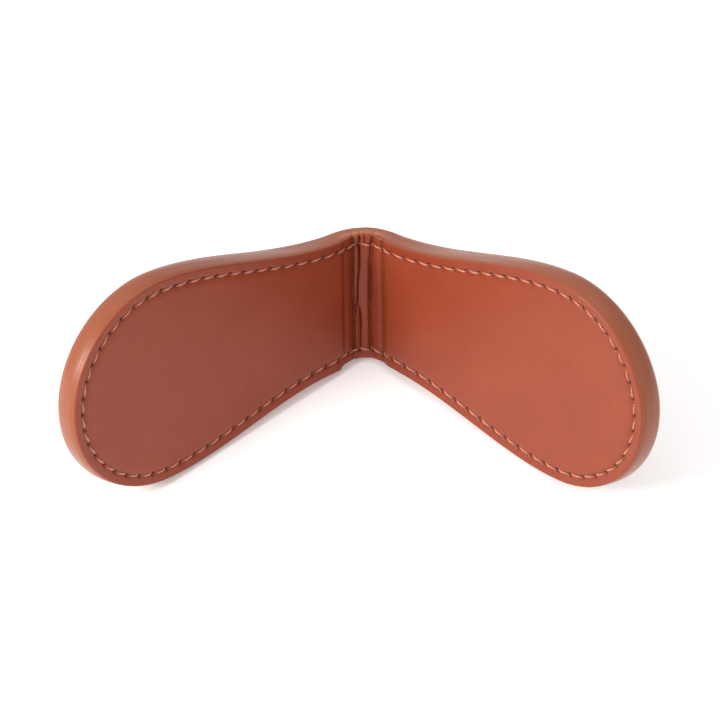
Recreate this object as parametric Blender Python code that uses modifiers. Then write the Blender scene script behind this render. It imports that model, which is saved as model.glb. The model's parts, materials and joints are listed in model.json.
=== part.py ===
"""Folding leather clip: two padded, stitched leaves joined by a soft leather spine.

Units are metres and +Z is up. The clip stands open on the lower rims of its
leaves and on the foot of its spine, leaning back by an angle found below. Each
leaf is built in the frame of its own fold axis: X runs out along the leaf, Y
runs from the inner face to the back, Z runs up along the fold.
"""
import math

import bmesh
import bpy
from mathutils import Matrix, Vector

MM = 0.001

# --- leaf outline (half height over the distance S from the crease) ---------
LEAF_LENGTH = 62.1 * MM
LEAF_MAX_HALF = 19.8 * MM       # widest half height
LEAF_MAX_AT = 41.9 * MM         # distance of the widest place from the crease
LEAF_CREASE_HALF = 12.7 * MM    # half height at the crease
LEAF_TIP_POWER = 1.985          # squareness of the round end
NECK_STEPS = 11
TIP_STEPS = 12

# --- layers of a leaf, measured from its inner face -------------------------
LEAF_THICK = 5.4 * MM
LINING_THICK = 0.9 * MM
LINING_INSET = 0.1 * MM
COVER_FRONT = 0.98 * MM         # the cover's turned-in rim starts behind the lining
COVER_SKIN = 1.1 * MM
RIM_WIDTH = 4.0 * MM            # how far the rim is turned in
RIM_THICK = 0.92 * MM
COVER_ROUND = 1.4 * MM          # rounding of the back edge
CORE_GAP = 0.1 * MM
PAD_THICK = 0.95 * MM
BOARD_THICK = 1.9 * MM
TAPE_THICK = 0.2 * MM

# --- stitching ---------------------------------------------------------------
STITCH_INSET = 1.95 * MM        # on the inner face
BACK_STITCH_INSET = 2.6 * MM    # on the back, inside its rounded edge
GROOVE_HALF = 0.42 * MM
GROOVE_DEPTH = 0.62 * MM
THREAD_RADIUS = 0.22 * MM
THREAD_DEPTH = 0.32 * MM        # centre of the thread below the inner face

# --- magnets -----------------------------------------------------------------
MAGNET_RADIUS = 6.0 * MM
MAGNET_THICK = 1.5 * MM
MAGNET_PLACES = (("inner", 24.0 * MM), ("outer", 45.0 * MM))
MAGNET_CLEAR = 0.12 * MM

# --- spine -------------------------------------------------------------------
CREASE_GAP = 7.6 * MM           # between the two inner creases
SPINE_ROUND = 1.1 * MM          # rounding of its upper and lower rims
SPINE_SKIN = 1.1 * MM
SPINE_HALF = 12.3 * MM
SPINE_STEPS = 20
HINGE_CLEAR = 0.3 * MM
FILLER_THICK = 1.2 * MM
HINGE_LINING_THICK = 0.85 * MM
HINGE_LINING_DEPTH = 2.6 * MM   # how far back the lining lies in the middle
HINGE_LINING_HALF = 12.05 * MM
FOLD_WAVE = 2.9 * MM            # spacing of the soft folds in the spine lining
FOLD_HEIGHT = 0.22 * MM

# --- pose --------------------------------------------------------------------
HALF_OPEN = math.radians(47.1)  # each leaf from the closed mid plane
PIVOT_DEPTH = 4.85 * MM         # fold axis, measured back from the inner face

LEATHER = (0.33, 0.095, 0.055, 1.0)
LEATHER_LIGHT = (0.42, 0.135, 0.080, 1.0)
LEATHER_DARK = (0.20, 0.052, 0.032, 1.0)


def clear_scene():
    for obj in list(bpy.data.objects):
        bpy.data.objects.remove(obj, do_unlink=True)


def collection(name):
    col = bpy.data.collections.new(name)
    bpy.context.scene.collection.children.link(col)
    return col


def material(name, color, roughness, metallic=0.0):
    mat = bpy.data.materials.new(name)
    mat.use_nodes = True
    bsdf = mat.node_tree.nodes["Principled BSDF"]
    bsdf.inputs["Base Color"].default_value = color
    bsdf.inputs["Roughness"].default_value = roughness
    bsdf.inputs["Metallic"].default_value = metallic
    mat.diffuse_color = color
    return mat


# --- outline -----------------------------------------------------------------
def half_outline(inset=0.0):
    """Points (s, z) of the upper edge from the crease to the tip, moved inward."""
    points = []
    for i in range(NECK_STEPS):
        u = 1.0 - i / NECK_STEPS
        s = LEAF_MAX_AT * (1.0 - u)
        drop = LEAF_MAX_HALF - LEAF_CREASE_HALF
        z = LEAF_MAX_HALF - drop * (3 * u ** 2 - 2 * u ** 3)
        slope = drop * (6 * u - 6 * u ** 2) / LEAF_MAX_AT
        n = Vector((slope, -1.0)).normalized()
        points.append((s + inset * n.x, z + inset * n.y))
    reach = LEAF_LENGTH - LEAF_MAX_AT
    for i in range(TIP_STEPS + 1):
        phi = (math.pi / 2) * i / TIP_STEPS
        c = max(math.cos(phi), 0.0)
        z = LEAF_MAX_HALF * c ** (2.0 / LEAF_TIP_POWER)
        s = LEAF_MAX_AT + reach * math.sin(phi)
        ds = reach * math.cos(phi)
        dz = -LEAF_MAX_HALF * (2.0 / LEAF_TIP_POWER) * max(c, 1e-6) ** (2.0 / LEAF_TIP_POWER - 1) * math.sin(phi)
        n = Vector((dz, -ds)).normalized() if i < TIP_STEPS else Vector((-1.0, 0.0))
        points.append((s + inset * n.x, max(z + inset * n.y, 0.0)))
    return points


def clipped(points, start):
    """Drop what lies before START and put a point exactly on it."""
    kept = [p for p in points if p[0] > start + 1e-6]
    before = [p for p in points if p[0] <= start + 1e-6]
    if before:
        a, b = before[-1], kept[0]
        t = (start - a[0]) / (b[0] - a[0])
        kept.insert(0, (start, a[1] + t * (b[1] - a[1])))
    else:
        kept.insert(0, (start, kept[0][1]))
    return kept


def leaf_outline(inset, start):
    upper = clipped(half_outline(inset), start)
    lower = [(s, -z) for s, z in reversed(upper[:-1])]
    return upper + lower


def ribbon_outline(inset_a, inset_b, start):
    """A band that follows the edge between two insets, open at the crease."""
    outer = leaf_outline(inset_a, start)
    inner = leaf_outline(inset_b, start)
    return outer + list(reversed(inner))


# --- making objects ------------------------------------------------------------
def adopt(obj, col):
    for c in list(obj.users_collection):
        c.objects.unlink(obj)
    col.objects.link(obj)
    return obj


def curve_plate(name, outline, depth):
    """A flat closed outline with thickness, as a 2D curve."""
    curve = bpy.data.curves.new(name, "CURVE")
    curve.dimensions = "2D"
    curve.fill_mode = "BOTH"
    curve.extrude = depth / 2
    spline = curve.splines.new("POLY")
    spline.points.add(len(outline) - 1)
    for point, (x, y) in zip(spline.points, outline):
        point.co = (x, y, 0.0, 1.0)
    spline.use_cyclic_u = True
    obj = bpy.data.objects.new(name, curve)
    bpy.context.scene.collection.objects.link(obj)
    return obj


def to_mesh(obj, col):
    """The evaluated curve as a closed mesh object in the same place."""
    bpy.context.view_layer.update()
    graph = bpy.context.evaluated_depsgraph_get()
    mesh = bpy.data.meshes.new_from_object(obj.evaluated_get(graph))
    bm = bmesh.new()
    bm.from_mesh(mesh)
    bmesh.ops.remove_doubles(bm, verts=bm.verts, dist=1e-6)
    bmesh.ops.dissolve_limit(bm, angle_limit=math.radians(0.2), use_dissolve_boundaries=False, verts=bm.verts, edges=bm.edges)
    bmesh.ops.recalc_face_normals(bm, faces=bm.faces)
    bm.to_mesh(mesh)
    bm.free()
    name, matrix, parent = obj.name, obj.matrix_world.copy(), obj.parent
    bpy.data.objects.remove(obj, do_unlink=True)
    mesh.name = name
    new = bpy.data.objects.new(name, mesh)
    new.matrix_world = matrix
    col.objects.link(new)
    return new


def plate_on_leaf(name, outline, front, back, side, col):
    """An outline in the leaf's own plane, between two depths below its inner face."""
    obj = curve_plate(name, [(side * s, z) for s, z in outline], back - front)
    obj.rotation_euler = (math.pi / 2, 0.0, 0.0)
    obj.location = (0.0, (front + back) / 2 - PIVOT_DEPTH, 0.0)
    return to_mesh(obj, col)


def disc_on_leaf(name, radius, front, back, s, side, col, sides=40):
    bpy.ops.mesh.primitive_cylinder_add(
        vertices=sides, radius=radius, depth=back - front,
        location=(side * s, (front + back) / 2 - PIVOT_DEPTH, 0.0),
        rotation=(math.pi / 2, 0.0, 0.0))
    obj = bpy.context.object
    obj.name = name
    obj.data.name = name
    return adopt(obj, col)


def cut(obj, cutter):
    cutter.hide_render = True
    cutter.display_type = "WIRE"
    mod = obj.modifiers.new("cut_" + cutter.name, "BOOLEAN")
    mod.operation = "DIFFERENCE"
    mod.solver = "EXACT"
    mod.object = cutter


def bevel_marked(obj, width, segments, wanted):
    """Round only the edges whose two ends satisfy WANTED."""
    mesh = obj.data
    weight = mesh.attributes.new("bevel_weight_edge", "FLOAT", "EDGE")
    for edge in mesh.edges:
        a = obj.matrix_world @ mesh.vertices[edge.vertices[0]].co
        b = obj.matrix_world @ mesh.vertices[edge.vertices[1]].co
        weight.data[edge.index].value = 1.0 if wanted(a, b) else 0.0
    mod = obj.modifiers.new("round", "BEVEL")
    mod.limit_method = "WEIGHT"
    mod.width = width
    mod.segments = segments
    return mod


def smooth(obj, angle=35.0):
    obj.data.shade_smooth()
    obj.data.set_sharp_from_angle(angle=math.radians(angle))


def paint(obj, mat):
    obj.data.materials.clear()
    obj.data.materials.append(mat)


def tube(name, points, radius, col):
    curve = bpy.data.curves.new(name, "CURVE")
    curve.dimensions = "3D"
    curve.bevel_depth = radius
    curve.bevel_resolution = 1
    curve.use_fill_caps = True
    spline = curve.splines.new("POLY")
    spline.points.add(len(points) - 1)
    for point, co in zip(spline.points, points):
        point.co = (*co, 1.0)
    obj = bpy.data.objects.new(name, curve)
    col.objects.link(obj)
    return obj


# --- one leaf ------------------------------------------------------------------
def build_leaf(word, side, parts, cutters, mats):
    """All the pieces of one leaf, in the frame of its fold axis."""
    made = []

    # Outer cover: back skin, side wall and turned-in rim in one.
    cover = plate_on_leaf(word + "_cover", leaf_outline(0.0, 0.0), COVER_FRONT, LEAF_THICK, side, parts)
    back = LEAF_THICK - PIVOT_DEPTH

    def back_rim(a, b):
        on_back = abs(a.y - back) < 1e-5 and abs(b.y - back) < 1e-5
        at_crease = abs(a.x) < 1e-5 and abs(b.x) < 1e-5
        return on_back and not at_crease

    bevel_marked(cover, COVER_ROUND, 3, back_rim)
    pocket_front = COVER_FRONT + RIM_THICK
    pocket_back = LEAF_THICK - COVER_SKIN
    pocket = plate_on_leaf(word + "_pocket_cut", leaf_outline(COVER_SKIN, -2 * MM), pocket_front, pocket_back, side, cutters)
    window = plate_on_leaf(word + "_rim_cut", leaf_outline(RIM_WIDTH, -2 * MM), 0.0, pocket_front + 0.3 * MM, side, cutters)
    track = plate_on_leaf(word + "_back_groove_cut", ribbon_outline(BACK_STITCH_INSET - GROOVE_HALF, BACK_STITCH_INSET + GROOVE_HALF, -1 * MM), LEAF_THICK - GROOVE_DEPTH, LEAF_THICK + 0.5 * MM, side, cutters)
    cut(cover, track)
    cut(cover, pocket)
    cut(cover, window)
    smooth(cover)
    paint(cover, mats["cover"])
    made.append(cover)

    # Lining with the sunk line that the stitching lies in.
    lining = plate_on_leaf(word + "_lining", leaf_outline(LINING_INSET, 0.0), 0.0, LINING_THICK, side, parts)

    def front_rim(a, b):
        on_front = abs(a.y + PIVOT_DEPTH) < 1e-5 and abs(b.y + PIVOT_DEPTH) < 1e-5
        at_crease = abs(a.x) < 1e-5 and abs(b.x) < 1e-5
        return on_front and not at_crease

    bevel_marked(lining, 0.35 * MM, 2, front_rim)
    groove = plate_on_leaf(word + "_groove_cut", ribbon_outline(STITCH_INSET - GROOVE_HALF, STITCH_INSET + GROOVE_HALF, -1 * MM), -0.5 * MM, GROOVE_DEPTH, side, cutters)
    cut(lining, groove)
    paint(lining, mats["lining"])
    made.append(lining)

    # The two threads of the seam: one along the inner face, one along the back.
    for name, inset, depth in (("_stitching", STITCH_INSET, THREAD_DEPTH), ("_back_stitching", BACK_STITCH_INSET, LEAF_THICK - THREAD_DEPTH)):
        path = [(side * s, depth - PIVOT_DEPTH, z) for s, z in leaf_outline(inset, 0.25 * MM)]
        thread = tube(word + name, path, THREAD_RADIUS, parts)
        paint(thread, mats["thread"])
        made.append(thread)

    # Soft pad in the window of the rim, straight behind the lining.
    front = COVER_FRONT
    pad = plate_on_leaf(word + "_foam_pad", leaf_outline(RIM_WIDTH + 0.25 * MM, 2.0 * MM), front, front + PAD_THICK - 0.05 * MM, side, parts)
    paint(pad, mats["pad"])
    made.append(pad)

    # Stiffening board with a round seat for each magnet.
    front = pocket_front + CORE_GAP
    board = plate_on_leaf(word + "_stiffener", leaf_outline(COVER_SKIN + 0.25 * MM, 1.5 * MM), front, front + BOARD_THICK, side, parts)
    for place, s in MAGNET_PLACES:
        seat = disc_on_leaf(word + "_seat_cut_" + place, MAGNET_RADIUS + MAGNET_CLEAR, front - 1 * MM, front + BOARD_THICK + 1 * MM, s, side, cutters)
        cut(board, seat)
        middle = front + BOARD_THICK / 2
        magnet = disc_on_leaf(word + "_magnet_" + place, MAGNET_RADIUS, middle - MAGNET_THICK / 2, middle + MAGNET_THICK / 2, s, side, parts)
        smooth(magnet)
        paint(magnet, mats["magnet"])
        made.append(magnet)
    paint(board, mats["board"])
    made.append(board)

    # Tape that keeps the magnets in their seats.
    s0, s1 = MAGNET_PLACES[0][1], MAGNET_PLACES[1][1]
    r = MAGNET_RADIUS + 1.2 * MM
    outline = []
    for i in range(13):
        t = math.radians(-90 + 180 * i / 12)
        outline.append((s1 + r * math.cos(t), r * math.sin(t)))
    for i in range(13):
        t = math.radians(90 + 180 * i / 12)
        outline.append((s0 + r * math.cos(t), r * math.sin(t)))
    front = front + BOARD_THICK + 0.05 * MM
    tape = plate_on_leaf(word + "_magnet_tape", outline, front, front + TAPE_THICK - 0.1 * MM, side, parts)
    paint(tape, mats["tape"])
    made.append(tape)
    return made


# --- spine -----------------------------------------------------------------------
def arc_points(radius, centre_y, x_limit, steps):
    a = math.asin(x_limit / radius)
    return [(radius * math.sin(a - 2 * a * i / steps), centre_y + radius * math.cos(a - 2 * a * i / steps)) for i in range(steps + 1)]


def lining_line(x):
    """Depth of the spine lining's inner face at X, with its soft folds."""
    reach = CREASE_GAP / 2 + 0.22 * MM
    base = HINGE_LINING_DEPTH * (1 - min(abs(x) / reach, 1.0) ** 2.6)
    return base - FOLD_HEIGHT * math.cos(2 * math.pi * x / FOLD_WAVE)


def build_spine(parts, cutters, mats, pivot):
    made = []
    # The spine's back is an arc that runs on smoothly into the back of each leaf.
    corner = Vector((CREASE_GAP / 2 + math.cos(HALF_OPEN) * LEAF_THICK, math.sin(HALF_OPEN) * LEAF_THICK))
    spine_radius = corner.x / math.cos(HALF_OPEN)
    centre_y = corner.y - spine_radius * math.sin(HALF_OPEN)
    x_end = pivot.x - HINGE_CLEAR / 2
    y_end = pivot.y + HINGE_CLEAR

    # Outer leather of the spine, cut back to stay clear of both leaves.
    outer = arc_points(spine_radius, centre_y, x_end, SPINE_STEPS)
    r_in = spine_radius - SPINE_SKIN
    x_in = math.sqrt(r_in ** 2 - (y_end - centre_y) ** 2)
    inner = arc_points(r_in, centre_y, x_in, SPINE_STEPS)
    outline = outer + [(-x_end, y_end)] + list(reversed(inner)) + [(x_end, y_end)]
    cover = to_mesh(curve_plate("spine_cover", outline, 2 * SPINE_HALF), parts)

    def rim(a, b):
        on_end = abs(abs(a.z) - SPINE_HALF) < 1e-5 and abs(a.z - b.z) < 1e-6
        r1 = math.hypot(a.x, a.y - centre_y)
        r2 = math.hypot(b.x, b.y - centre_y)
        return on_end and min(r1, r2) > spine_radius - 1e-5

    bevel_marked(cover, SPINE_ROUND, 3, rim)
    smooth(cover)
    paint(cover, mats["cover"])
    made.append(cover)

    # Soft filler strip between the outer leather and the lining.
    r_out = r_in - 0.12 * MM
    r_low = r_out - FILLER_THICK
    y_low = max(y_end, HINGE_LINING_DEPTH + HINGE_LINING_THICK + FOLD_HEIGHT + 0.1 * MM)
    half = math.sqrt(r_low ** 2 - (y_low - centre_y) ** 2)
    outline = arc_points(r_out, centre_y, half + 0.3 * MM, 12) + list(reversed(arc_points(r_low, centre_y, half, 12)))
    filler = to_mesh(curve_plate("spine_filler", outline, 2 * (SPINE_HALF - 1.2 * MM)), parts)
    smooth(filler)
    paint(filler, mats["pad"])
    made.append(filler)

    # Lining across the inside of the spine, lying in soft lengthwise folds.
    x_lim = CREASE_GAP / 2 - 0.22 * MM
    steps = 36
    front, rear = [], []
    for i in range(steps + 1):
        x = -x_lim + 2 * x_lim * i / steps
        y = lining_line(x)
        slope = (lining_line(x + 1e-5) - lining_line(x - 1e-5)) / 2e-5
        bend = HINGE_LINING_DEPTH * 2.6 / (CREASE_GAP / 2) * (abs(x) / (CREASE_GAP / 2)) ** 1.6 * (-1 if x > 0 else 1)
        n = Vector((-bend, 1.0)).normalized()
        front.append((x, y))
        rear.append((x + HINGE_LINING_THICK * n.x, max(y, 0) + HINGE_LINING_THICK * n.y))
    lining = to_mesh(curve_plate("spine_lining", front + list(reversed(rear)), 2 * HINGE_LINING_HALF), parts)
    smooth(lining, 50.0)
    paint(lining, mats["lining"])
    made.append(lining)

    # Stitching that crosses the spine near its two ends.
    for word, sign in (("top", 1), ("bottom", -1)):
        x_lim = CREASE_GAP / 2 - 0.45 * MM
        z = sign * (LEAF_CREASE_HALF - STITCH_INSET)
        path = []
        for i in range(25):
            x = -x_lim + 2 * x_lim * i / 24
            path.append((x, lining_line(x) - THREAD_RADIUS - 0.12 * MM, z))
        thread = tube("spine_stitching_" + word, path, THREAD_RADIUS, parts)
        paint(thread, mats["thread"])
        made.append(thread)
    return made


# --- assembly ----------------------------------------------------------------------
def empty(name, col, location=(0, 0, 0), rotation=(0, 0, 0), parent=None):
    obj = bpy.data.objects.new(name, None)
    obj.empty_display_size = 0.01
    col.objects.link(obj)
    obj.location = location
    obj.rotation_euler = rotation
    if parent is not None:
        obj.parent = parent
    return obj


def world_points(objects):
    bpy.context.view_layer.update()
    graph = bpy.context.evaluated_depsgraph_get()
    points = []
    for obj in objects:
        ev = obj.evaluated_get(graph)
        mesh = ev.to_mesh()
        points += [ev.matrix_world @ v.co for v in mesh.vertices]
        ev.to_mesh_clear()
    return points


def lean_angle(leaf_points, spine_points):
    """The lean at which the leaves and the spine touch one level plane."""
    def gap(t):
        s, c = math.sin(t), math.cos(t)
        leaf = min(c * p.z - s * p.y for p in leaf_points)
        spine = min(c * p.z - s * p.y for p in spine_points)
        return leaf - spine
    low, high = 0.0, math.radians(40.0)
    for _ in range(60):
        mid = (low + high) / 2
        if gap(mid) < 0:
            low = mid
        else:
            high = mid
    return (low + high) / 2


def main():
    clear_scene()
    parts = collection("folding_leather_clip")
    cutters = collection("cutters")
    mats = {
        "cover": material("cover_leather", LEATHER_LIGHT, 0.42),
        "lining": material("lining_leather", LEATHER, 0.38),
        "thread": material("thread", (0.55, 0.24, 0.15, 1.0), 0.55),
        "pad": material("foam", (0.62, 0.60, 0.56, 1.0), 0.95),
        "board": material("board", (0.23, 0.21, 0.19, 1.0), 0.85),
        "magnet": material("nickel", (0.72, 0.71, 0.69, 1.0), 0.28, 1.0),
        "tape": material("tape", (0.78, 0.75, 0.66, 1.0), 0.6),
    }

    along = Vector((math.sin(HALF_OPEN), -math.cos(HALF_OPEN), 0.0))
    backward = Vector((math.cos(HALF_OPEN), math.sin(HALF_OPEN), 0.0))
    pivot = Vector((CREASE_GAP / 2, 0.0, 0.0)) + backward * PIVOT_DEPTH

    leaves = {}
    for word, side in (("left", -1), ("right", 1)):
        leaves[side] = build_leaf(word, side, parts, cutters, mats)
    spine = build_spine(parts, cutters, mats, pivot)

    root = empty("lean", parts)
    for word, side in (("left", -1), ("right", 1)):
        turn = -side * (math.pi / 2 - HALF_OPEN)
        fold = empty(word + "_fold_axis", parts, (side * pivot.x, pivot.y, 0.0), (0.0, 0.0, turn), root)
        for obj in leaves[side] + [c for c in cutters.objects if c.name.startswith(word)]:
            obj.parent = fold
    for obj in spine:
        obj.parent = root

    leaf_covers = [bpy.data.objects["left_cover"], bpy.data.objects["right_cover"]]
    angle = lean_angle(world_points(leaf_covers), world_points([bpy.data.objects["spine_cover"]]))
    root.rotation_euler = (-angle, 0.0, 0.0)

    # The origin sits at the middle of the base.
    points = world_points([o for o in parts.objects if o.type in {"MESH", "CURVE"}])
    y_mid = (min(p.y for p in points) + max(p.y for p in points)) / 2
    root.location = (0.0, -y_mid, -min(p.z for p in points))
    bpy.context.view_layer.update()


main()
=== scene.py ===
import json
import math

import bmesh
import bpy
import numpy as np
from mathutils import Matrix, Vector, noise


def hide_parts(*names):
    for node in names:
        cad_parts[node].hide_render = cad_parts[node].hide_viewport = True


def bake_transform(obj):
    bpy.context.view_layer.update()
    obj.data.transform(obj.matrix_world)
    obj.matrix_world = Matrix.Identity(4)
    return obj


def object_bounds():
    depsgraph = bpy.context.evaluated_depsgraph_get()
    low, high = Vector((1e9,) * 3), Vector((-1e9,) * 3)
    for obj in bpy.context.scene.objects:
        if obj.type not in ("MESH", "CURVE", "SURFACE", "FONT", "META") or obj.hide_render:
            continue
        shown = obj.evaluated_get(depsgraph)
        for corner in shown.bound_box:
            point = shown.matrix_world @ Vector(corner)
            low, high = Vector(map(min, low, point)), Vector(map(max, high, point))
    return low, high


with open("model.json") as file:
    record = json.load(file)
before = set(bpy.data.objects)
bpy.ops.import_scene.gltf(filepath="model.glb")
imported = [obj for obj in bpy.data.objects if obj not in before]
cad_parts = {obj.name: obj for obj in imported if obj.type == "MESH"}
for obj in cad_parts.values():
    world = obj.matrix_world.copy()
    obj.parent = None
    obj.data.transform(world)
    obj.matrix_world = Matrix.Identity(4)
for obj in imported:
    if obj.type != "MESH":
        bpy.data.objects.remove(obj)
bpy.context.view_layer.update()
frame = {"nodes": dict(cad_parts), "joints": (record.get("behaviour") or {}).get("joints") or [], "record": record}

# ---------------------------------------------------------------------------
# Design numbers, in millimetres, as the CAD part has them
# ---------------------------------------------------------------------------
LENGTH, MAX_HALF, MAX_AT, CREASE_HALF, TIP_POWER = 62.1, 19.8, 41.9, 12.7, 1.985
THICK, GAP, HALF_OPEN, PIVOT_DEPTH = 5.4, 7.6, math.radians(47.1), 4.85
STITCH_INSET, BACK_STITCH_INSET, PITCH = 1.95, 2.6, 3.2
SPINE_RUN = 7.0          # unrolled length from the middle of the spine to a crease
SPINE_PINCH = 0.45       # how much the spine is drawn up at its lower end
LINING_DEEP = 2.6        # the lining in the middle of the spine, behind the creases
APEX = 6.55              # the back of the spine, behind the creases
CREASE_PINCH = 0.75      # the leaf is this much thinner beside the spine

SA, CA = math.sin(HALF_OPEN), math.cos(HALF_OPEN)
OUT = np.array([SA, -CA])       # along the right leaf, away from the spine
BACK = np.array([CA, SA])       # from its inner face to its back
CREASE = np.array([GAP / 2, 0.0])

joints = {j["name"]: j for j in frame["joints"]}
hinge_axis = Vector(joints["right_fold"]["axis"]).normalized()
LEAN = math.atan2(hinge_axis.y, hinge_axis.z)
TURN = np.array([[1, 0, 0], [0, math.cos(LEAN), math.sin(LEAN)], [0, -math.sin(LEAN), math.cos(LEAN)]])
PIVOT = np.array([*(CREASE + BACK * PIVOT_DEPTH), 0.0])
OFFSET = np.array(joints["right_fold"]["pos_m"], float) * 1000 - TURN @ PIVOT


def to_world(p):
    """Millimetres in the upright design frame to metres in the row frame."""
    return (np.asarray(p, float) @ TURN.T + OFFSET) / 1000.0


# ---------------------------------------------------------------------------
# The bend map: unrolled leather (S along, z up, depth b) to the folded shape
# ---------------------------------------------------------------------------
def hermite(p0, t0, p1, t1, u):
    u = u[:, None]
    return ((2 * u**3 - 3 * u**2 + 1) * p0 + (u**3 - 2 * u**2 + u) * t0
            + (-2 * u**3 + 3 * u**2) * p1 + (u**3 - u**2) * t1)


def smooth_rows(rows, step, sigma):
    n = int(4 * sigma / step)
    k = np.exp(-0.5 * (np.arange(-n, n + 1) * step / sigma) ** 2)
    k /= k.sum()
    mirrored = np.concatenate([rows[1:n + 1][::-1] * np.array([-1, 1]), rows, rows[-1] + (rows[-1] - rows[-n - 1:-1][::-1])])
    return np.stack([np.convolve(mirrored[:, c], k, "valid") for c in (0, 1)], 1)


STEP = 0.02
TABLE_S = np.arange(0, SPINE_RUN + LENGTH + 8, STEP)
_u = np.clip(TABLE_S / SPINE_RUN, 0, 1)
_s = np.maximum(TABLE_S - SPINE_RUN, 0)[:, None]
_thin = THICK - CREASE_PINCH * np.exp(-(_s / 5.0) ** 1.3)
_front_spine = hermite(np.array([0, LINING_DEEP]), np.array([4.9, 0.0]), CREASE, np.array([1.3, -3.6]), _u)
_corner = CREASE + BACK * (THICK - CREASE_PINCH)
_back_spine = hermite(np.array([0, APEX]), np.array([7.8, 0.0]), _corner, OUT * 7.8, _u)
_spine = (TABLE_S < SPINE_RUN)[:, None]
FRONT = smooth_rows(np.where(_spine, _front_spine, CREASE + OUT * _s), STEP, 0.16)
REAR = smooth_rows(np.where(_spine, _back_spine, CREASE + OUT * _s + BACK * _thin), STEP, 0.8)


def fold(S, z, b):
    """Signed S: negative on the left half, positive on the right."""
    side = np.where(S < 0, -1.0, 1.0)
    a = np.abs(S)
    f = np.stack([np.interp(a, TABLE_S, FRONT[:, c]) for c in (0, 1)], -1)
    r = np.stack([np.interp(a, TABLE_S, REAR[:, c]) for c in (0, 1)], -1)
    p = f + (r - f) * (b / THICK)[..., None]
    return np.stack([side * p[..., 0], p[..., 1], z], -1)


def front_x(S):
    return np.sign(S) * np.interp(np.abs(S), TABLE_S, FRONT[:, 0])


# ---------------------------------------------------------------------------
# Edge line of one half, unrolled: middle of spine, crease, tip, and back below
# ---------------------------------------------------------------------------
def leaf_half(s):
    u = np.clip(1 - s / MAX_AT, 0, 1)
    neck = MAX_HALF - (MAX_HALF - CREASE_HALF) * (3 * u**2 - 2 * u**3)
    v = np.clip((s - MAX_AT) / (LENGTH - MAX_AT), 0, 1)
    tip = MAX_HALF * (1 - v**2) ** (1 / TIP_POWER)
    return np.where(s <= MAX_AT, neck, tip)


def edge_line(fine=0.08, coarse=0.2):
    """Upper edge from S=0 to the tip, denser across the spine."""
    s1 = np.arange(0, SPINE_RUN, 0.01)
    z1 = np.full_like(s1, CREASE_HALF)
    s2 = np.linspace(0, MAX_AT, 2000)
    ph = np.linspace(0, np.pi / 2, 2500)[1:]
    s3 = MAX_AT + (LENGTH - MAX_AT) * np.sin(ph)
    z3 = MAX_HALF * np.clip(np.cos(ph), 0, 1) ** (2 / TIP_POWER)
    S = np.concatenate([s1, SPINE_RUN + s2, SPINE_RUN + s3])
    z = np.concatenate([z1, leaf_half(s2), z3])
    arc = np.concatenate([[0], np.cumsum(np.hypot(np.diff(S), np.diff(z)))])
    stops, a = [0.0], 0.0
    while a < arc[-1]:
        spread = np.clip((a - SPINE_RUN - 0.5) / 4, 0, 1)
        a += fine + (coarse - fine) * spread
        stops.append(min(a, arc[-1]))
    if stops[-1] - stops[-2] < 0.05:
        stops.pop(-2)
    stops = np.array(stops)
    return np.interp(stops, arc, S), np.interp(stops, arc, z)


def make_path(side):
    """The whole edge of one half: arrays S (positive), z, inward normal, arc."""
    Su, zu = edge_line()
    Sl, zl = Su[::-1][1:], -zu[::-1][1:].copy()
    S, z = np.concatenate([Su, Sl]), np.concatenate([zu, zl])
    ds, dz = np.gradient(S), np.gradient(z)
    ln = np.hypot(ds, dz)
    n = np.stack([dz / ln, -ds / ln], 1)
    ker = np.ones(7) / 7
    pad = np.pad(n, ((3, 3), (0, 0)), "edge")
    n = np.stack([np.convolve(pad[:, c], ker, "valid") for c in (0, 1)], 1)
    n /= np.linalg.norm(n, axis=1)[:, None]
    n[0], n[-1] = (0, -1), (0, 1)
    arc = np.concatenate([[0], np.cumsum(np.hypot(np.diff(S), np.diff(z)))])
    return S, z, n, arc


def lower_edge(side, S, z, inset):
    """How the lower edge is drawn up under the spine, and steps down at the left corner."""
    a = np.abs(S)
    near = (z < 0) * np.exp(-np.maximum(inset, 0) / 3.0)
    u = np.clip((a - 1.5) / (SPINE_RUN + 3.5), 0, 1)
    up = SPINE_PINCH * (1 - u * u * (3 - 2 * u))
    down = 0.0
    if side < 0:
        down = 0.62 * np.exp(-np.maximum(a - SPINE_RUN - 0.7, 0) / 8) / (1 + np.exp(-(a - SPINE_RUN - 0.55) / 0.11))
    return (up - down) * near


DEEP = 6.0   # rings run along the edge to this inset, then on to the middle line


def stitch_line(side, inset):
    """Points along the edge at an inset, with their own running length."""
    S, z, n, _ = make_path(side)
    q = np.stack([S + inset * n[:, 0], z + inset * n[:, 1]], 1)
    run = np.concatenate([[0], np.cumsum(np.hypot(*np.diff(q, axis=0).T))])
    holes = (run[-1] - PITCH) / PITCH
    pitch = (run[-1]) / (round(holes) + 1)
    return q, n, run, pitch


# ---------------------------------------------------------------------------
# Surface relief
# ---------------------------------------------------------------------------
def field(points, scale, seed, octaves=2):
    """Smooth noise from -1 to 1 at points (n, 2 or 3)."""
    p = np.asarray(points, float)
    flat = p.reshape(-1, p.shape[-1])
    out = np.empty(len(flat))
    for i, c in enumerate(flat):
        v = Vector((c[0] * scale[0] + seed, c[1] * scale[1] - seed, seed * 0.37))
        out[i] = noise.noise(v) + (0.5 * noise.noise(v * 2.1) if octaves > 1 else 0)
    return out.reshape(p.shape[:-1])


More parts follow.
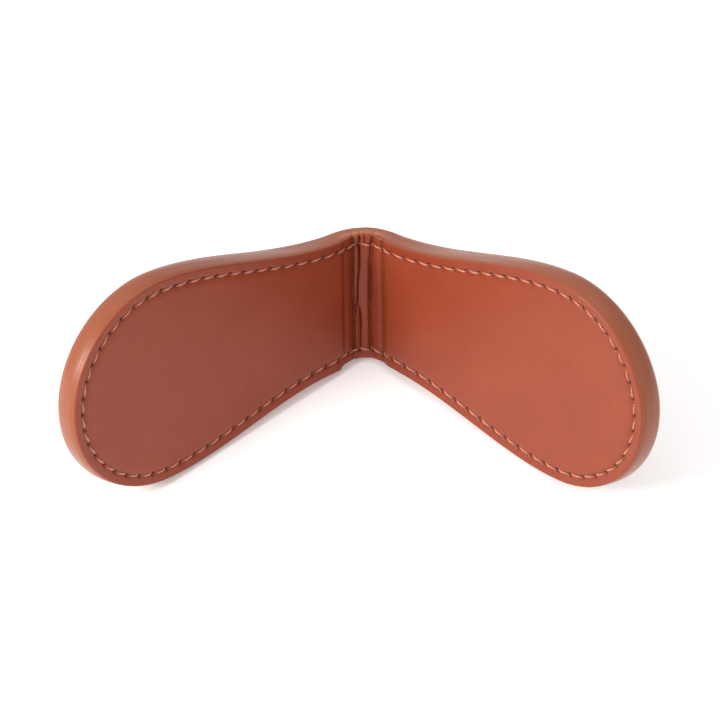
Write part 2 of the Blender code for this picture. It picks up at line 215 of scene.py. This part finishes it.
# Lengthwise folds of the spine lining. Each: depth, half width, wander, and the
# line it follows down the spine as (height, place across) from top to bottom.
GROOVES = (
    (0.13, 0.22, 0.03, ((13.5, -3.74), (-13.5, -3.74))),
    (0.70, 0.24, 0.10, ((13.5, -1.96), (9.0, -1.92), (3.0, -2.08), (-5.0, -1.98), (-13.5, -2.02))),
    (0.62, 0.17, 0.07, ((13.5, -0.74), (10.5, -0.84), (6.3, -0.90), (3.5, -1.20), (-0.6, -1.32), (-2.9, -1.72), (-4.2, -1.95))),
    (0.52, 0.15, 0.06, ((-1.3, -1.05), (-2.5, -0.86), (-5.8, -0.75), (-9.2, -0.80), (-13.5, -0.80))),
    (0.50, 0.17, 0.02, ((13.5, 0.12), (10.4, 0.10))),
    (0.80, 0.30, 0.08, ((13.5, 1.62), (10.0, 1.26), (7.0, 1.00), (0.0, 0.88), (-13.5, 0.92))),
    (0.09, 0.14, 0.12, ((8.5, 1.78), (2.0, 1.90), (-6.0, 1.75))),
    (0.13, 0.22, 0.03, ((13.5, 3.12), (-13.5, 3.06))),
)


def wrinkles(x, z):
    """Depth of the folds in the spine lining at local x and height z."""
    near = np.abs(x) < 4.8
    d = np.zeros_like(x)
    if not near.any():
        return d
    xs, zs = x[near], z[near]
    total = np.zeros_like(xs)
    for i, (deep, w, amp, line) in enumerate(GROOVES):
        zz = np.array([p[0] for p in line])[::-1]
        xx = np.array([p[1] for p in line])[::-1]
        wob = field(np.stack([zs * 0, zs], -1), (1, 0.30), 3.1 + 5 * i, 2)
        xc = np.interp(zs, zz, xx) + amp * wob
        gate = 1 / (1 + np.exp(-(zs - zz[0]) / 0.45)) / (1 + np.exp((zs - zz[-1]) / 0.45))
        g = np.exp(-np.abs((xs - xc) / w) ** 1.6)
        total = np.maximum(total, deep * gate * g * (1 + 0.22 * wob))
    # soft swells between the folds, one of them sharp where the lining crumples
    total -= 0.24 * np.exp(-((xs + 3.0) / 0.42) ** 2) + 0.20 * np.exp(-((xs - 0.10) / 0.42) ** 2) + 0.24 * np.exp(-((xs - 2.2) / 0.50) ** 2)
    total -= 0.22 * np.exp(-((xs + 1.42 - 0.02 * zs) / 0.20) ** 2) * (total < 0.25)
    streak = field(np.stack([xs, zs], -1), (2.4, 0.22), 11.0)
    total += 0.045 * streak * np.exp(-(np.maximum(np.abs(xs) - 2.4, 0) / 0.6) ** 2)
    fade = np.clip((4.7 - np.abs(xs)) / 0.7, 0, 1)
    # the turned edge below the lower seam is drawn smooth
    low = 0.12 + 0.88 / (1 + np.exp(-(zs + 11.1) / 0.28))
    d[near] = total * fade * fade * (3 - 2 * fade) * low
    return d


def hole_marks(arc_pos, inset, pitch, at, width=0.30):
    """1 at a needle hole, fading within its width."""
    phase = (arc_pos - 0.5 * pitch) / pitch
    off = (phase - np.round(phase)) * pitch
    return np.exp(-((off / width) ** 2 + ((inset - at) / width) ** 2))


# ---------------------------------------------------------------------------
# Shells
# ---------------------------------------------------------------------------
def build_shell(name, side, rings, relief):
    """A closed shell of one half. rings: (inset, share towards the middle line, depth)."""
    S, z, n, arc = make_path(side)
    K = len(S)
    deep = np.stack([S + DEEP * n[:, 0], z + DEEP * n[:, 1]], 1)
    mid = np.minimum(np.concatenate([deep[:(K + 1) // 2, 0], deep[:(K - 1) // 2, 0][::-1]]), SPINE_RUN + MAX_AT)
    mid = np.maximum.accumulate(mid[:(K + 1) // 2])
    mid = np.concatenate([mid, mid[:-1][::-1]])
    insets = np.array([r[0] for r in rings])
    shares = np.array([r[1] for r in rings])
    depths = np.array([r[2] for r in rings])
    U = S[:, None] + np.minimum(insets, DEEP)[None] * n[:, :1]
    V = z[:, None] + np.minimum(insets, DEEP)[None] * n[:, 1:]
    U = U + (mid[:, None] - U) * shares[None]
    V = V * (1 - shares[None])
    real_inset = insets[None] + shares[None] * np.hypot(deep[:, 0] - mid, deep[:, 1])[:, None]
    B = np.broadcast_to(depths[None], U.shape).copy()
    U = np.maximum(U, 0.0)
    U[0], U[-1] = 0.0, 0.0
    A = np.broadcast_to(arc[:, None], U.shape)
    Bnew, dV, tone, *swell = relief(side, side * U, V, B, real_inset, A, np.broadcast_to(n[:, 1:], U.shape))
    if swell:
        down = np.clip((n[:, 1:] - 0.75) / 0.25, 0, 1)
        out = swell[0] * (1 - 0.85 * down)
        U = np.maximum(U - out * n[:, :1], 0.0)
        V = V - out * n[:, 1:]
    V = V + dV + lower_edge(side, U, V, real_inset)
    P = fold(side * np.maximum(U, 1e-9), V, Bnew)
    J = len(rings)
    verts = to_world(P.reshape(-1, 3))
    uvw = np.stack([side * U, V, B], -1).reshape(-1, 3)
    idx = np.arange(K * J).reshape(K, J)
    a, b, c, d = idx[:-1, :-1].ravel(), idx[1:, :-1].ravel(), idx[1:, 1:].ravel(), idx[:-1, 1:].ravel()
    quads = np.stack([a, b, c, d], 1)
    mesh = bpy.data.meshes.new(name)
    mesh.from_pydata(verts.tolist(), [], quads.tolist())
    at = mesh.attributes.new("leather", "FLOAT_VECTOR", "POINT")
    at.data.foreach_set("vector", uvw.astype(np.float32).ravel())
    # painted shading per point: above zero painted shade, below zero painted highlight and a lighter lip tint
    at = mesh.attributes.new("painted_shading", "FLOAT", "POINT")
    at.data.foreach_set("value", tone.astype(np.float32).ravel())
    bm = bmesh.new()
    bm.from_mesh(mesh)
    bmesh.ops.remove_doubles(bm, verts=bm.verts, dist=2e-6)
    bmesh.ops.dissolve_degenerate(bm, edges=bm.edges, dist=1e-7)
    rim = [e for e in bm.edges if e.is_boundary]
    if rim:
        bmesh.ops.holes_fill(bm, edges=rim, sides=0)
    bmesh.ops.recalc_face_normals(bm, faces=bm.faces)
    bm.to_mesh(mesh)
    bm.free()
    obj = bpy.data.objects.new(name, mesh)
    bpy.context.scene.collection.objects.link(obj)
    mesh.shade_smooth()
    mesh.set_sharp_from_angle(angle=math.radians(62))
    return obj


def spaced(*stops):
    """Rings from (inset, depth) stops with a step each."""
    out = []
    for (i0, b0), (i1, b1), step in stops:
        n = max(1, int(round(math.hypot(i1 - i0, b1 - b0) / step)))
        out += [(i0 + (i1 - i0) * k / n, 0.0, b0 + (b1 - b0) * k / n) for k in range(n)]
    return out


def arc_rings(ci, cb, r, a0, a1, n):
    """Ring positions on a rounded edge, centre (ci, cb)."""
    return [(ci + r * math.cos(math.radians(a0 + (a1 - a0) * k / n)), 0.0, cb + r * math.sin(math.radians(a0 + (a1 - a0) * k / n))) for k in range(n + 1)]


def lining_rings():
    inner = [(DEEP, 1 - k / 22, 0.0) for k in range(22)]
    face = spaced(((DEEP, 0.0), (3.4, 0.0), 0.4), ((3.4, 0.0), (1.1, 0.0), 0.115), ((1.1, 0.0), (0.36, 0.0), 0.12))
    # small roll from the face into the wall
    roll = arc_rings(0.34, 0.32, 0.34, -90, -180, 6)
    edge = [(-0.02, 0.0, 0.55), (-0.03, 0.0, 0.78), (-0.03, 0.0, 0.892), (0.02, 0.0, 0.90)]
    under = [(1.2, 0.0, 0.9), (3.0, 0.0, 0.9), (DEEP, 0.0, 0.9)]
    under_in = [(DEEP, (k + 1) / 22, 0.9) for k in range(22)]
    return inner + face + roll + edge + under + under_in


def cover_rings():
    r = 1.5
    inner = [(DEEP, 1 - k / 16, THICK) for k in range(16)]
    face = spaced(((DEEP, THICK), (3.9, THICK), 0.5), ((3.9, THICK), (r, THICK), 0.13))
    roll = arc_rings(r, THICK - r, r, 90, 180, 9)
    wall = [(-0.03, 0.0, b) for b in np.linspace(THICK - r - 0.25, 1.35, 9)]
    lip = [(-0.03, 0.0, 1.10), (-0.03, 0.0, 0.98), (-0.03, 0.0, 0.908), (0.02, 0.0, 0.902), (1.2, 0.0, 0.94), (3.9, 0.0, 0.95)]
    under = [(4.0, 0.0, 1.1), (4.0, 0.0, 1.75), (3.8, 0.0, 1.88), (1.5, 0.0, 1.9), (1.15, 0.0, 2.1), (1.12, 0.0, 3.9), (1.4, 0.0, 4.25), (DEEP, 0.0, 4.3)]
    under_in = [(DEEP, (k + 1) / 16, 4.3) for k in range(16)]
    return inner + face + roll + wall + lip + under + under_in


def wall_swell(side, S, b, inset, arc):
    """Outward swell of the padded wall, most at the broad end of a leaf."""
    sway = field(np.stack([arc, b * 2], -1), (0.11, 0.25), 61.0 + side)
    reach = np.clip((np.abs(S) - SPINE_RUN - 8) / 34, 0, 1)
    near = np.clip((1.8 - inset) / 1.2, 0, 1)
    round_wall = np.sin(np.pi * np.clip(b / (THICK + 0.1), 0, 1))
    return ((0.04 + 0.05 * sway) * np.clip(b / 1.2, 0, 1) * np.clip((THICK - b) / 1.2, 0, 1) + 0.42 * reach * round_wall) * near


def lining_relief(side, S, z, b, inset, arc, nz):
    q, n, run, pitch = stitch_line(side, STITCH_INSET)
    _, _, _, edge_arc = make_path(side)
    along = np.interp(arc, edge_arc, run)
    on_face = np.clip((0.86 - b) / 0.8, 0, 1)
    x = front_x(S)
    d = np.zeros_like(b)
    # sunk line, raised field and the pull of each stitch
    ramp = np.clip((inset - 0.3) / (STITCH_INSET - 0.3), 0, 1)
    back_up = 1 / (1 + np.exp(-(inset - STITCH_INSET - 0.75) / 0.22))
    d += 0.20 * ramp ** 1.3 * (1 - back_up)
    d += 0.09 * np.exp(-((inset - STITCH_INSET) / 0.34) ** 2)
    d += 0.42 * hole_marks(along, inset, pitch, STITCH_INSET)
    pull = np.cos(2 * np.pi * (along / pitch - 0.5))
    d += 0.035 * pull * np.exp(-((inset - STITCH_INSET) / 0.9) ** 2)
    low = field(np.stack([S, z], -1), (0.06, 0.06), 21.0 + side)
    d += 0.05 * low * np.clip(inset / 4, 0, 1)
    w = wrinkles(x, z)
    d = d * np.clip((np.abs(S) - 0.0) / 1.0 + 1.0, 0, 1) + w
    out = b + d * on_face
    # the ends of the folds scallop the edge of the spine lining
    pinch = np.clip(w, -0.25, 0.6) * 0.50 * on_face * np.exp(-inset / 1.6)
    # painted shade, darker in fold hollows, at needle holes, in the stitch groove and sunk margin, on the spine and
    # the faces near it, and on the crease lines
    spine = 1 / (1 + np.exp((np.abs(S) - SPINE_RUN + 0.1) / 0.30))
    tone = 0.34 * np.clip(w / 0.55, 0, 1) + 0.9 * hole_marks(along, inset, pitch, STITCH_INSET, 0.34)
    tone += 0.13 * spine + 0.22 * np.exp(-((inset - STITCH_INSET) / 0.40) ** 2) + 0.10 * ramp * (1 - back_up)
    # painted shade on the faces, fading away from the spine
    tone += 0.17 * np.exp(-np.maximum(np.abs(S) - SPINE_RUN, 0) / 11.0)
    # painted shade along the two crease lines
    tone += 0.25 * np.exp(-((np.abs(x + 0.33) - 3.41) / 0.16) ** 2)
    # lighter tint along the lower edge of the spine lining
    tone -= 0.30 * spine * (z < 0) * np.exp(-np.maximum(inset - 0.5, 0) / 0.25)
    swell = wall_swell(side, S, b, inset, arc) * (inset < 0.7)
    return out, nz * pinch, np.clip(tone, 0, 1) * on_face, swell


def cover_relief(side, S, z, b, inset, arc, nz):
    q, n, run, pitch = stitch_line(side, BACK_STITCH_INSET)
    _, _, _, edge_arc = make_path(side)
    along = np.interp(arc, edge_arc, run)
    x = front_x(S)
    outer_back = np.clip((b - (THICK - 0.9)) / 0.8, 0, 1)
    d = np.zeros_like(b)
    relief = 0.15 * np.exp(-((inset - BACK_STITCH_INSET) / 0.42) ** 2)
    relief += 0.40 * hole_marks(along, inset, pitch, BACK_STITCH_INSET)
    relief -= 0.06 / (1 + np.exp(-(inset - BACK_STITCH_INSET - 1.1) / 0.35))
    relief += 0.035 * np.cos(2 * np.pi * (along / pitch - 0.5)) * np.exp(-((inset - BACK_STITCH_INSET) / 0.9) ** 2)
    relief += 0.05 * field(np.stack([S, z], -1), (0.06, 0.06), 41.0 + side)
    # faint lengthwise lines where the back of the spine bends
    bend = np.exp(-((np.abs(S) - SPINE_RUN * 0.9) / 0.35) ** 2) * 0.10 + np.exp(-((np.abs(S) - SPINE_RUN * 0.45) / 0.3) ** 2) * 0.05
    relief += bend
    d -= relief * outer_back
    # the front lip follows the folds of the lining a little way
    lip = np.clip((2.6 - b) / 1.4, 0, 1) * (inset < 0.6)
    w = wrinkles(x, z)
    d += 0.30 * np.clip(w, -0.3, 0.7) * lip
    # the wall swells and wanders slightly, and narrows over the spine's folds
    wall = np.clip(b / 1.2, 0, 1) * np.clip((THICK - b) / 1.2, 0, 1) * (inset < 0.6)
    dv = nz * 0.28 * np.clip(w, -0.2, 0.6) * lip
    puff = wall_swell(side, S, b, inset, arc)
    # painted shade at the back needle holes and along the back stitch line
    tone = (0.7 * hole_marks(along, inset, pitch, BACK_STITCH_INSET, 0.34) + 0.18 * np.exp(-((inset - BACK_STITCH_INSET) / 0.4) ** 2)) * outer_back
    # painted shade in the fold hollows of the front lip
    tone += 0.75 * np.clip(w / 0.6, 0, 1) * lip * np.clip((2.0 - b) / 1.0, 0, 1)
    # painted highlight on the top of the wall over the spine
    spine_top_highlight = 0.85 * np.exp(-(np.abs(S) / 6.0) ** 4) * np.exp(-((b - 1.2) / 1.1) ** 2) * (inset < 0.6) * (z > 0)
    return b + d, dv, np.clip(tone - spine_top_highlight, -1, 1), puff


# ---------------------------------------------------------------------------
# Stitching
# ---------------------------------------------------------------------------
def thread_run(name, side, inset, face):
    """Every stitch of one seam as its own short thread that dives into its holes."""
    q, n, run, pitch = stitch_line(side, inset)
    count = int(round(run[-1] / pitch)) - 1
    starts = [0.5 * pitch + i * pitch for i in range(count)]
    if side > 0:
        starts = [-0.5 * pitch] + starts + [run[-1] - 0.5 * pitch]
    steps, sides = 14, 10
    verts, faces, uvw = [], [], []
    for number, a0 in enumerate(starts):
        t = np.linspace(-0.03, 1.03, steps)
        a = a0 + t * pitch
        wob = noise.noise(Vector((number * 1.7, side * 3.3, face)))
        slant = (0.24 + 0.06 * wob) * (2 * t - 1) * (1 if face == 0 else -1)
        # past either end of the path the seam carries on over the middle of the spine
        over = np.where(a < 0, -a, np.where(a > run[-1], 2 * run[-1] - a, a))
        flip = np.where((a < 0) | (a > run[-1]), -1.0, 1.0)
        Sq = np.interp(over, run, q[:, 0])
        zq = np.interp(over, run, q[:, 1])
        nS = np.interp(over, run, n[:, 0])
        nZ = np.interp(over, run, n[:, 1])
        Sg = side * flip * (Sq + slant * nS)
        zg = zq + slant * nZ
        end = np.minimum(np.abs(t + 0.03), np.abs(1.03 - t)) / 0.22
        rise = 1 - (1 - np.clip(end, 0, 1)) ** 2.2
        lift = -0.62 + (0.62 - 0.26 + 0.04 * wob) * rise + 0.27 * np.sin(np.pi * np.clip(t, 0, 1) ** 1.3) ** 1.6
        zg = zg + lower_edge(side, np.abs(Sg), zg, np.full_like(zg, inset))
        w = wrinkles(front_x(Sg), zg) * 0.8
        depth = (0.20 + w - lift) if face == 0 else (THICK - 0.14 + lift - 0.10 * np.exp(-((np.abs(Sg) - SPINE_RUN * 0.9) / 0.35) ** 2))
        centre = fold(Sg, zg, depth)
        other = fold(Sg, zg, depth + (1.0 if face == 0 else -1.0))
        tang = np.gradient(centre, axis=0)
        tang /= np.linalg.norm(tang, axis=1)[:, None]
        up = centre - other
        up -= (up * tang).sum(1)[:, None] * tang
        up /= np.linalg.norm(up, axis=1)[:, None]
        across = np.cross(tang, up)
        ang = np.linspace(-np.pi / 2, 1.5 * np.pi, sides, endpoint=False)
        base = len(verts)
        for i in range(steps):
            twist = 2 * (ang - 9.0 * t[i])
            close = 0.72 if i in (0, steps - 1) else 1.0
            rad = 0.178 * close * (1 + 0.13 * np.cos(twist))
            ringp = centre[i] + (np.cos(ang) * rad)[:, None] * across[i] + (np.sin(ang) * rad * 0.86)[:, None] * up[i]
            verts += list(ringp)
            uvw += [(1.9 * a[i] + k / sides, 0.1 * number, t[i]) for k in range(sides)]
        for i in range(steps - 1):
            for k in range(sides):
                k2 = (k + 1) % sides
                faces.append((base + i * sides + k, base + i * sides + k2, base + (i + 1) * sides + k2, base + (i + 1) * sides + k))
        faces.append(tuple(base + k for k in range(sides))[::-1])
        faces.append(tuple(base + (steps - 1) * sides + k for k in range(sides)))
    mesh = bpy.data.meshes.new(name)
    mesh.from_pydata(to_world(np.array(verts)).tolist(), [], faces)
    at = mesh.attributes.new("leather", "FLOAT_VECTOR", "POINT")
    at.data.foreach_set("vector", np.array(uvw, np.float32).ravel())
    bm = bmesh.new()
    bm.from_mesh(mesh)
    bmesh.ops.recalc_face_normals(bm, faces=bm.faces)
    bm.to_mesh(mesh)
    bm.free()
    obj = bpy.data.objects.new(name, mesh)
    bpy.context.scene.collection.objects.link(obj)
    mesh.shade_smooth()
    return obj


# ---------------------------------------------------------------------------
# Materials
# ---------------------------------------------------------------------------
class Nodes:
    def __init__(self, name):
        self.mat = bpy.data.materials.new(name)
        self.mat.use_nodes = True
        self.tree = self.mat.node_tree
        self.bsdf = self.tree.nodes["Principled BSDF"]

    def add(self, kind, **values):
        node = self.tree.nodes.new(kind)
        for key, value in values.items():
            if key.startswith("in_"):
                socket = node.inputs[int(key[3:])] if key[3:].isdigit() else node.inputs[key[3:].replace("_", " ")]
                if isinstance(value, bpy.types.NodeSocket):
                    self.tree.links.new(value, socket)
                else:
                    socket.default_value = value
            else:
                setattr(node, key, value)
        return node

    def link(self, a, b):
        self.tree.links.new(a, b)

    def where(self):
        """The unrolled place on the leather, in millimetres."""
        return self.add("ShaderNodeAttribute", attribute_name="leather", attribute_type="GEOMETRY").outputs["Vector"]

    def noise(self, vector, scale, detail=3.0, rough=0.55):
        return self.add("ShaderNodeTexNoise", in_Vector=vector, in_Scale=scale, in_Detail=detail, in_Roughness=rough).outputs["Fac"]

    def ramp(self, fac, stops):
        node = self.add("ShaderNodeValToRGB", in_Fac=fac)
        el = node.color_ramp.elements
        while len(el) < len(stops):
            el.new(0.5)
        for e, (pos, col) in zip(el, stops):
            e.position = pos
            e.color = (*col, 1.0)
        return node.outputs["Color"]

    def mix(self, fac, a, b, mode="MIX"):
        node = self.add("ShaderNodeMix", data_type="RGBA", blend_type=mode)
        for socket, value in ((node.inputs[0], fac), (node.inputs[6], a), (node.inputs[7], b)):
            if isinstance(value, bpy.types.NodeSocket):
                self.link(value, socket)
            else:
                socket.default_value = value
        return node.outputs[2]

    def math(self, op, a, b=0.0, clamp=False):
        node = self.add("ShaderNodeMath", operation=op, use_clamp=clamp)
        for socket, value in zip(node.inputs, (a, b)):
            if isinstance(value, bpy.types.NodeSocket):
                self.link(value, socket)
            else:
                socket.default_value = value
        return node.outputs[0]

    def span(self, value, lo, hi, to_lo=0.0, to_hi=1.0):
        return self.add("ShaderNodeMapRange", in_0=value, in_1=lo, in_2=hi, in_3=to_lo, in_4=to_hi).outputs[0]

    def bump(self, height, strength, distance, below=None):
        node = self.add("ShaderNodeBump", in_Height=height, in_Strength=strength, in_Distance=distance)
        if below is not None:
            self.link(below, node.inputs["Normal"])
        return node.outputs["Normal"]


def leather(name, light, dark, painted_shading, rough, edge, gloss):
    """Smooth, lightly polished cowhide: fine pores, cloudy dye, painted shade darkening seams, holes and folds, and a
    painted highlight.
    """
    n = Nodes(name)
    place = n.where()
    cloud = n.noise(place, 0.09, 4.0, 0.6)
    patch = n.noise(place, 0.9, 3.0, 0.6)
    fibre = n.noise(place, 5.5, 4.0, 0.65)
    tone = n.ramp(cloud, ((0.30, dark), (0.70, light)))
    tone = n.mix(n.span(patch, 0.35, 0.75, 0.0, 0.22), tone, (*[c * 0.80 for c in light], 1.0))
    tone = n.mix(n.span(fibre, 0.35, 0.8, 0.0, 0.16), tone, (*[c * 0.70 for c in dark], 1.0))
    # painted shade in hollows, at needle holes and where the hide folds
    shade_mask = n.add("ShaderNodeAttribute", attribute_name="painted_shading", attribute_type="GEOMETRY").outputs["Fac"]
    shade_mask = n.math("MULTIPLY", shade_mask, n.span(patch, 0.3, 0.7, 0.85, 1.1), clamp=True)
    # painted highlight where the attribute is negative, and on the lining a lighter lip tint
    highlight_and_lip_tint = n.math("MULTIPLY", n.add("ShaderNodeAttribute", attribute_name="painted_shading", attribute_type="GEOMETRY").outputs["Fac"], -1.0, clamp=True)
    depth = n.add("ShaderNodeSeparateXYZ", in_0=place).outputs["Z"]
    # the cut edge of the lining is painted to match the cover
    tone = n.mix(n.span(depth, 0.10, 0.30), tone, (*edge, 1.0))
    # painted shade: mixed towards the dark colour
    tone = n.mix(shade_mask, tone, (*painted_shading, 1.0))
    # mix in the painted highlight and lip tint colour
    tone = n.mix(highlight_and_lip_tint, tone, (*[c * 1.75 for c in edge], 1.0))
    n.link(tone, n.bsdf.inputs["Base Color"])
    n.link(n.span(n.math("ADD", n.math("MULTIPLY", patch, 0.6), n.math("MULTIPLY", fibre, 0.4)), 0.3, 0.7, rough - 0.06, rough + 0.08), n.bsdf.inputs["Roughness"])
    cells = n.add("ShaderNodeTexVoronoi", feature="DISTANCE_TO_EDGE", in_Vector=place, in_Scale=3.6)
    grain = n.span(cells.outputs["Distance"], 0.0, 0.35)
    pores = n.noise(place, 9.0, 2.0, 0.5)
    b1 = n.bump(grain, 0.10, 0.00004)
    b2 = n.bump(pores, 0.10, 0.00004, b1)
    b3 = n.bump(n.noise(place, 0.7, 3.0), 0.16, 0.00012, b2)
    n.link(b3, n.bsdf.inputs["Normal"])
    n.bsdf.inputs["Specular IOR Level"].default_value = gloss
    n.bsdf.inputs["Coat Weight"].default_value = 0.06
    n.bsdf.inputs["Coat Roughness"].default_value = 0.34
    n.bsdf.inputs["Sheen Weight"].default_value = 0.0
    return n.mat


def thread_material(name):
    n = Nodes(name)
    place = n.where()
    strand = n.add("ShaderNodeTexWave", in_Vector=place, in_Scale=math.pi / 10, in_Distortion=0.25, in_Detail=2.0)
    fuzz = n.noise(place, 6.0, 3.0)
    tone = n.ramp(strand.outputs["Fac"], ((0.15, (0.30, 0.080, 0.036)), (0.85, (0.64, 0.225, 0.115))))
    tone = n.mix(n.span(fuzz, 0.3, 0.8, 0.0, 0.3), tone, (0.66, 0.27, 0.15, 1.0))
    # painted shade: the ends, pulled down into the holes, are darkened
    along = n.add("ShaderNodeSeparateXYZ", in_0=place).outputs["Z"]
    off = n.math("ABSOLUTE", n.math("SUBTRACT", along, 0.58))
    tone = n.mix(n.span(off, 0.12, 0.42, 0.0, 0.92), tone, (0.150, 0.030, 0.013, 1.0))
    n.link(tone, n.bsdf.inputs["Base Color"])
    n.link(n.span(fuzz, 0.3, 0.7, 0.28, 0.42), n.bsdf.inputs["Roughness"])
    n.link(n.bump(strand.outputs["Fac"], 0.35, 0.00004), n.bsdf.inputs["Normal"])
    n.bsdf.inputs["Sheen Weight"].default_value = 0.15
    return n.mat


def plain_material(name, light, dark, scale, rough, metallic=0.0, grain=0.2, stretch=(1, 1, 1)):
    """The hidden pieces: board, foam, nickel and tape, by position in the part."""
    n = Nodes(name)
    co = n.add("ShaderNodeTexCoord").outputs["Object"]
    mapped = n.add("ShaderNodeMapping", in_Vector=co, in_Scale=stretch).outputs["Vector"]
    a = n.noise(mapped, scale, 5.0, 0.65)
    b = n.noise(mapped, scale * 0.15, 2.0, 0.5)
    tone = n.ramp(a, ((0.3, dark), (0.7, light)))
    tone = n.mix(n.span(b, 0.35, 0.7, 0.0, 0.3), tone, (*dark, 1.0))
    n.link(tone, n.bsdf.inputs["Base Color"])
    n.link(n.span(a, 0.3, 0.7, rough - 0.07, rough + 0.07), n.bsdf.inputs["Roughness"])
    n.link(n.bump(a, grain, 0.0001), n.bsdf.inputs["Normal"])
    n.bsdf.inputs["Metallic"].default_value = metallic
    return n.mat


# the third colour is the painted shade colour
COVER = leather("cover_leather_look", (0.268, 0.072, 0.029), (0.236, 0.061, 0.024), (0.115, 0.020, 0.009), 0.31, (0.252, 0.066, 0.027), 0.38)
LINING = leather("lining_leather_look", (0.262, 0.045, 0.0165), (0.232, 0.038, 0.013), (0.105, 0.012, 0.005), 0.40, (0.252, 0.066, 0.027), 0.26)
THREAD = thread_material("thread_look")
LOOKS = {
    "board": plain_material("board_look", (0.27, 0.25, 0.22), (0.17, 0.155, 0.14), 900, 0.85, stretch=(1, 1, 2.5)),
    "foam": plain_material("foam_look", (0.70, 0.68, 0.62), (0.52, 0.50, 0.45), 2600, 0.93, grain=0.5),
    "magnet_nickel": plain_material("nickel_look", (0.74, 0.73, 0.70), (0.60, 0.59, 0.57), 1500, 0.27, 1.0, 0.05, (1, 8, 1)),
    "tape": plain_material("tape_look", (0.80, 0.76, 0.64), (0.70, 0.65, 0.52), 500, 0.5, grain=0.15, stretch=(1, 1, 6)),
}


def dress(obj, mat):
    obj.data.materials.clear()
    obj.data.materials.append(mat)


slots = {s["node"]: s["material_slot"] for s in frame["record"]["subparts"]}
for node, obj in frame["nodes"].items():
    if slots.get(node) in LOOKS:
        dress(obj, LOOKS[slots[node]])

# ---------------------------------------------------------------------------
# The visible pieces
# ---------------------------------------------------------------------------
for word, side in (("left", -1), ("right", 1)):
    made = [
        (build_shell(word + "_cover_skin", side, cover_rings(), cover_relief), COVER, "cover_leather", (word + "_cover", "spine_cover")),
        (build_shell(word + "_lining_skin", side, lining_rings(), lining_relief), LINING, "lining_leather", (word + "_lining", "spine_lining")),
        (thread_run(word + "_stitches", side, STITCH_INSET, 0), THREAD, "thread", (word + "_stitching", "spine_stitching_top", "spine_stitching_bottom")),
        (thread_run(word + "_back_stitches", side, BACK_STITCH_INSET, 1), THREAD, "thread", (word + "_back_stitching",)),
    ]
    for obj, mat, slot, nodes in made:
        dress(obj, mat)
        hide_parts(*nodes)
        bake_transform(obj)

# ---------------------------------------------------------------------------
# Floor, light and camera
# ---------------------------------------------------------------------------
bpy.context.scene.view_settings.view_transform = "Standard"
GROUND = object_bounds()[0][2]
bpy.ops.mesh.primitive_plane_add(size=6.0, location=(0, 0, GROUND))
floor = bpy.context.object
floor.name = "floor"
paper = Nodes("floor_paper")
spot = paper.noise(paper.add("ShaderNodeTexCoord").outputs["Object"], 40.0, 2.0)
paper.link(paper.ramp(spot, ((0.3, (0.93, 0.93, 0.93)), (0.7, (0.95, 0.95, 0.95)))), paper.bsdf.inputs["Base Color"])
paper.bsdf.inputs["Roughness"].default_value = 0.9
# lit from below like a product table
paper.bsdf.inputs["Emission Color"].default_value = (1.0, 1.0, 1.0, 1.0)
paper.bsdf.inputs["Emission Strength"].default_value = 0.17
dress(floor, paper.mat)

world = bpy.data.worlds.new("studio")
bpy.context.scene.world = world
world.use_nodes = True
world.node_tree.nodes["Background"].inputs["Color"].default_value = (1.0, 1.0, 1.0, 1.0)
world.node_tree.nodes["Background"].inputs["Strength"].default_value = 0.80


def area(name, location, target, size, power, color=(1, 1, 1)):
    light = bpy.data.lights.new(name, "AREA")
    light.shape = "RECTANGLE"
    light.size, light.size_y = size
    light.energy = power
    light.color = color
    obj = bpy.data.objects.new(name, light)
    bpy.context.scene.collection.objects.link(obj)
    obj.location = location
    obj.rotation_euler = (Vector(target) - Vector(location)).to_track_quat("-Z", "Y").to_euler()
    return obj


area("key", (-0.50, -0.30, 0.36), (0.01, 0.0, 0.02), (0.24, 0.24), 4.8, (1.0, 0.985, 0.96))
area("top", (0.0, 0.12, 0.62), (0, 0, 0.01), (0.50, 0.40), 0.7)
area("fill", (0.42, -0.36, 0.24), (0, 0, 0.02), (0.30, 0.30), 0.25)

# Camera as the view was measured: elevation above the plane square to the
# fold, a small turn and roll, and the shift of the image centre.
DIST, ELEV, YAW, ROLL, TX, TY, FOCAL = 1395.8, math.radians(28.64), math.radians(-1.94), math.radians(-0.85), 0.805, -9.851, 7814.5


def spin(t):
    return np.array([[math.cos(t), -math.sin(t), 0], [math.sin(t), math.cos(t), 0], [0, 0, 1]])


R = spin(ROLL) @ np.array([[1, 0, 0], [0, -math.sin(ELEV), -math.cos(ELEV)], [0, math.cos(ELEV), -math.sin(ELEV)]]) @ spin(YAW)
eye = to_world(-R.T @ np.array([TX, TY, DIST]))
axes = R @ TURN.T          # rows: image right, image down, view direction, in the row frame
cam_data = bpy.data.cameras.new("camera")
cam = bpy.data.objects.new("camera", cam_data)
bpy.context.scene.collection.objects.link(cam)
cam_data.sensor_width = 36.0
cam_data.lens = FOCAL / 720.0 * 36.0
cam_data.clip_start, cam_data.clip_end = 0.05, 20.0
basis = Matrix((axes[0], -axes[1], -axes[2])).transposed()
cam.matrix_world = Matrix.Translation(Vector(eye)) @ basis.to_4x4()
bpy.context.scene.camera = cam
